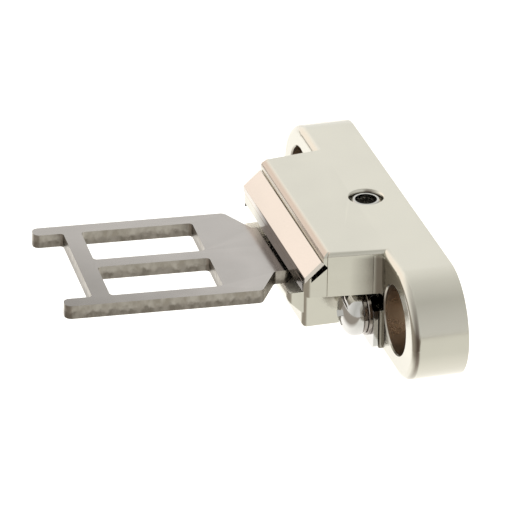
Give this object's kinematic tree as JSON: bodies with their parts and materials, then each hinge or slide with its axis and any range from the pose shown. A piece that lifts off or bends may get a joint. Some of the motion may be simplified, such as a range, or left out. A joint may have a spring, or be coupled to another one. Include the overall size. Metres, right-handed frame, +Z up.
{
  "type": "adjustable actuator key of a guard-door safety switch",
  "caption": "Forked steel actuator key that swivels and tilts in a die-cast mounting block with two screw ears, for a guard-door interlock switch.",
  "frame": {"origin": "centre of the housing's rear mounting face", "axes": "+X out of the mounting face into the door, the key points along -X; +Y along the bar, away from the near ear; +Z up, the side with the tilt screw"},
  "size_m": [0.0517, 0.062, 0.0156],
  "materials": {
    "die_cast": "zinc die casting with a bright warm satin nickel plate",
    "front_sheet": "satin stainless sheet",
    "key_steel": "stamped stainless steel, half-bright, tumbled edges",
    "bright_steel": "bright plated steel",
    "dark_steel": "black oxide steel",
    "spring_steel": "bright spring wire"
  },
  "bodies": {
    "base": {"housing": "die_cast", "front_plate": "front_sheet", "bracket": "bright_steel", "tilt_pin": "bright_steel", "clamp_screw_near": "bright_steel", "clamp_screw_far": "bright_steel", "spring_washer_near": "bright_steel", "spring_washer_far": "bright_steel", "flat_washer_near": "bright_steel", "flat_washer_far": "bright_steel", "tilt_spring_near": "spring_steel", "tilt_spring_far": "spring_steel"},
    "holder": {"key_holder": "die_cast", "swivel_pin": "bright_steel", "swivel_clip": "dark_steel"},
    "key": {"key_plate": "key_steel", "swivel_washer": "spring_steel"},
    "tilt_screw": {"tilt_screw": "dark_steel"},
    "lock_screw_near": {"lock_screw_near": "dark_steel"},
    "lock_screw_far": {"lock_screw_far": "dark_steel"}
  },
  "joints": [
    {"name": "tilt", "type": "hinge", "parent": "base", "child": "holder", "pos_m": [-0.0102, 0, -0.0036], "axis": [0, -1, 0], "range_deg": [0, 8], "deforming": ["tilt_spring_near", "tilt_spring_far"]},
    {"name": "swivel", "type": "hinge", "parent": "holder", "child": "key", "pos_m": [-0.0135, 0, 0], "axis": [0, 0, 1], "range_deg": [-5, 11]},
    {"name": "tilt_screw_travel", "type": "slide", "parent": "base", "child": "tilt_screw", "axis": [0, 0, 1], "range_m": [0, 0.000716]},
    {"name": "lock_near_travel", "type": "slide", "parent": "holder", "child": "lock_screw_near", "axis": [0, 0, -1], "range_m": [0, 0.001]},
    {"name": "lock_far_travel", "type": "slide", "parent": "holder", "child": "lock_screw_far", "axis": [0, 0, -1], "range_m": [0, 0.001]}
  ],
  "couplings": [
    {"joint": "tilt", "follows": "tilt_screw_travel", "rad_per_m": 195.01}
  ]
}
